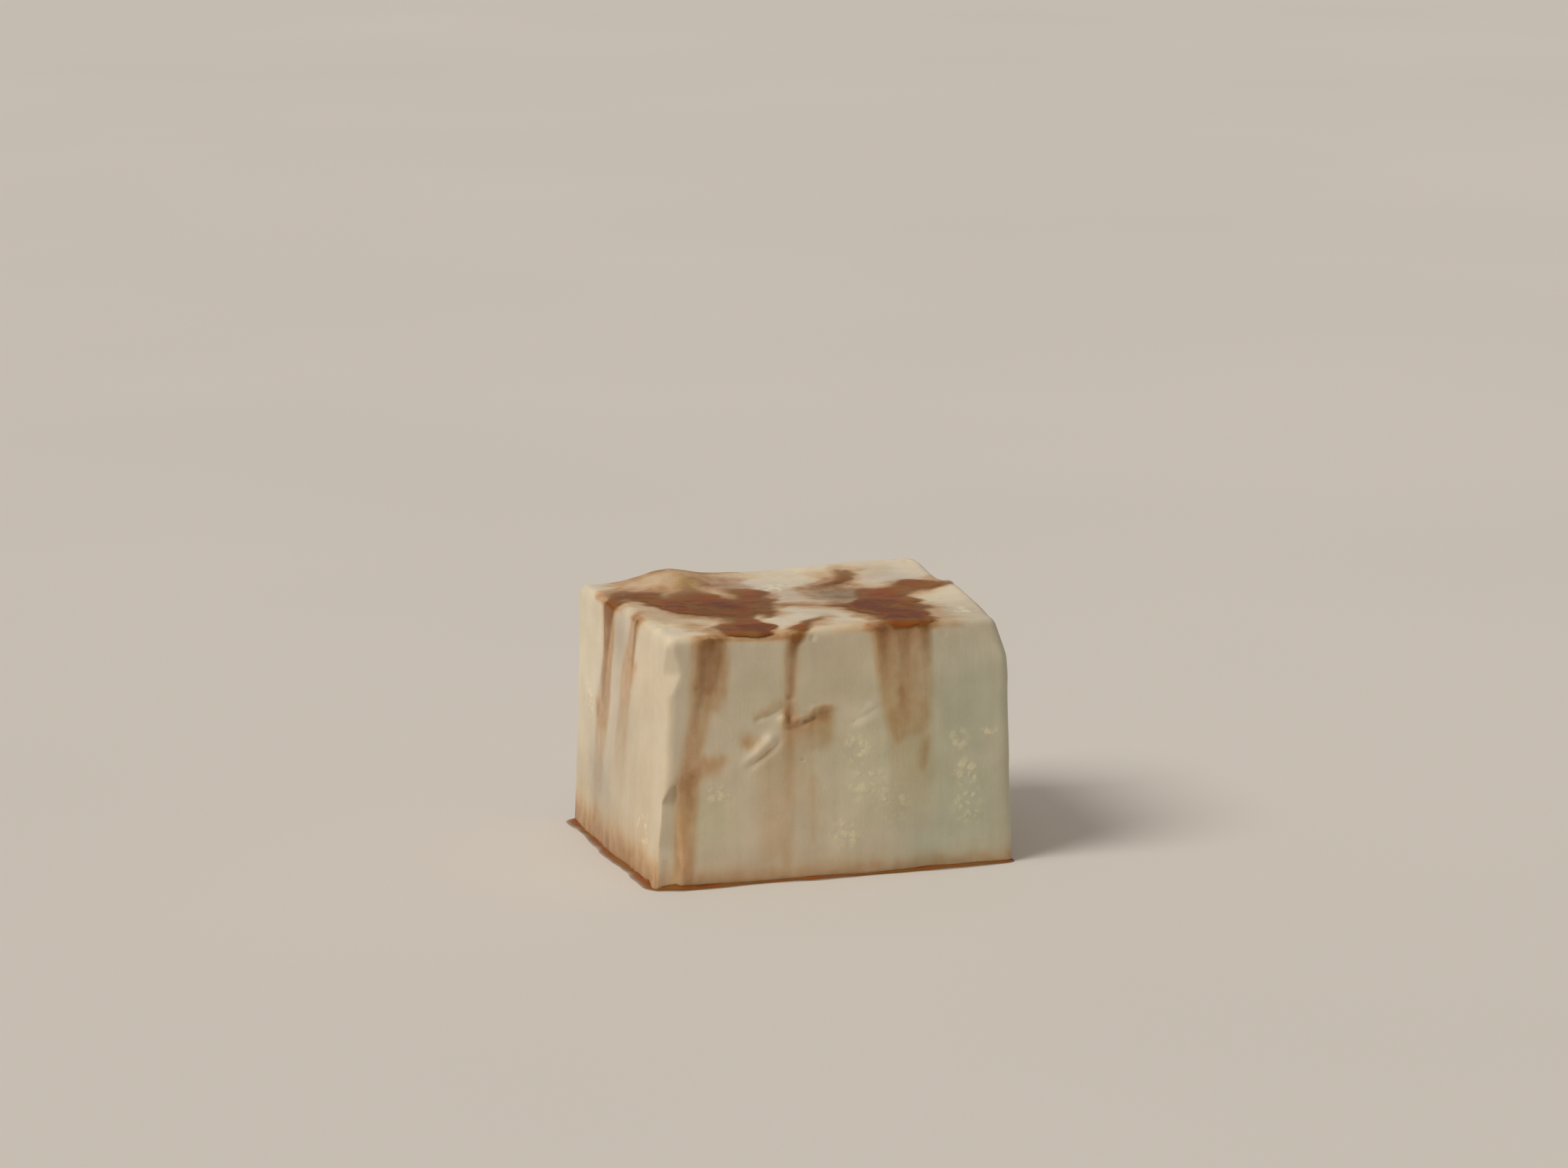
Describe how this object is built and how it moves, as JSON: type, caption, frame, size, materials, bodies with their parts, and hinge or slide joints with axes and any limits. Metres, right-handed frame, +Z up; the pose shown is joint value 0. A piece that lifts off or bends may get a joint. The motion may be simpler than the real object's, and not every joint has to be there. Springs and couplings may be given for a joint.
{
  "type": "tofu block",
  "caption": "Block of soft white tofu with rounded edges, slightly leaning walls, an uneven top and small chips and tears, streaked with brown sauce.",
  "frame": {"origin": "middle of the flat foot that the block rests on", "axes": "+X along the block's length, to the right as seen from the front; the front wall, with its tear, faces -Y; +Z up"},
  "size_m": [0.0922, 0.074, 0.0636],
  "materials": {
    "curd": "moist satin",
    "sauce": "wet gloss"
  },
  "bodies": {
    "root": {"tofu_block": "curd"}
  },
  "joints": []
}
